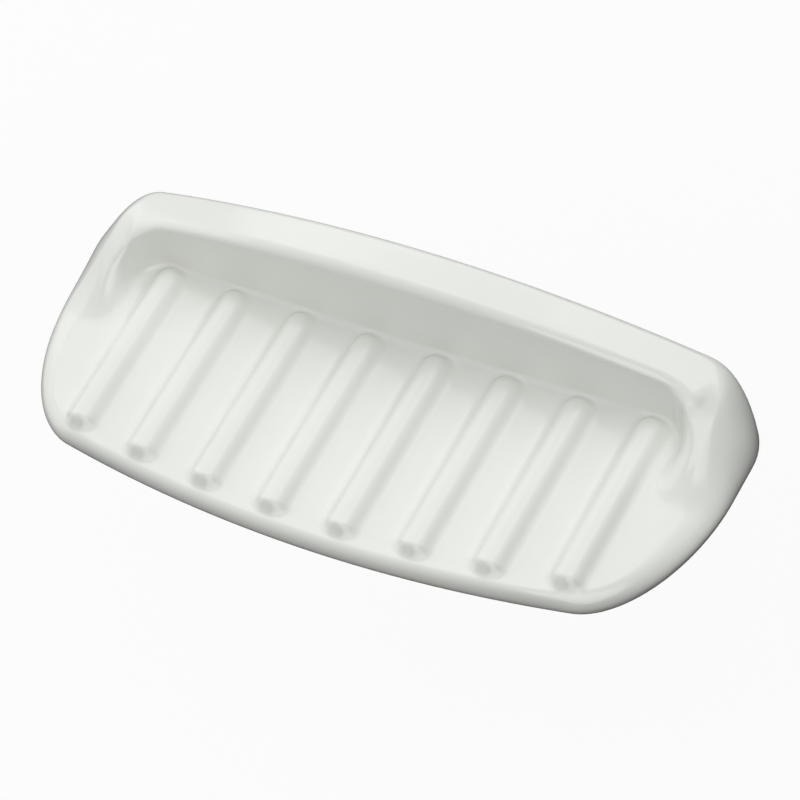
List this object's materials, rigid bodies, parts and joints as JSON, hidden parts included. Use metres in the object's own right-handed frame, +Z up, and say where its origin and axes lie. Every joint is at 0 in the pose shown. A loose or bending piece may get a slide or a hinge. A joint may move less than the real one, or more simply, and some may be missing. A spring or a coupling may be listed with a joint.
{
  "type": "wall_hung_soap_dish",
  "caption": "Glossy white vitreous china soap dish with parallel draining ribs, hung on a concealed steel wall hanger and kept off the wall by two clear pads",
  "frame": {"origin": "on the wall face, midway between the hanger's two screw holes", "axes": "+X along the dish to its right-hand end seen from the front; +Y into the wall; +Z up"},
  "size_m": [0.19, 0.077, 0.033],
  "materials": {
    "china_glaze": "glossy white glaze all over except the matte rear face",
    "zinc_steel": "pressed sheet steel, zinc plated, faintly spangled",
    "clear_vinyl": "soft translucent pads, satin"
  },
  "bodies": {
    "wall_bracket": {"wall_hanger": "zinc_steel"},
    "dish_body": {"dish": "china_glaze", "wall_pads": "clear_vinyl"}
  },
  "joints": [
    {"name": "dish_lift", "type": "slide", "parent": "wall_bracket", "child": "dish_body", "axis": [0, 0, 1], "range_m": [0, 0.003]}
  ]
}
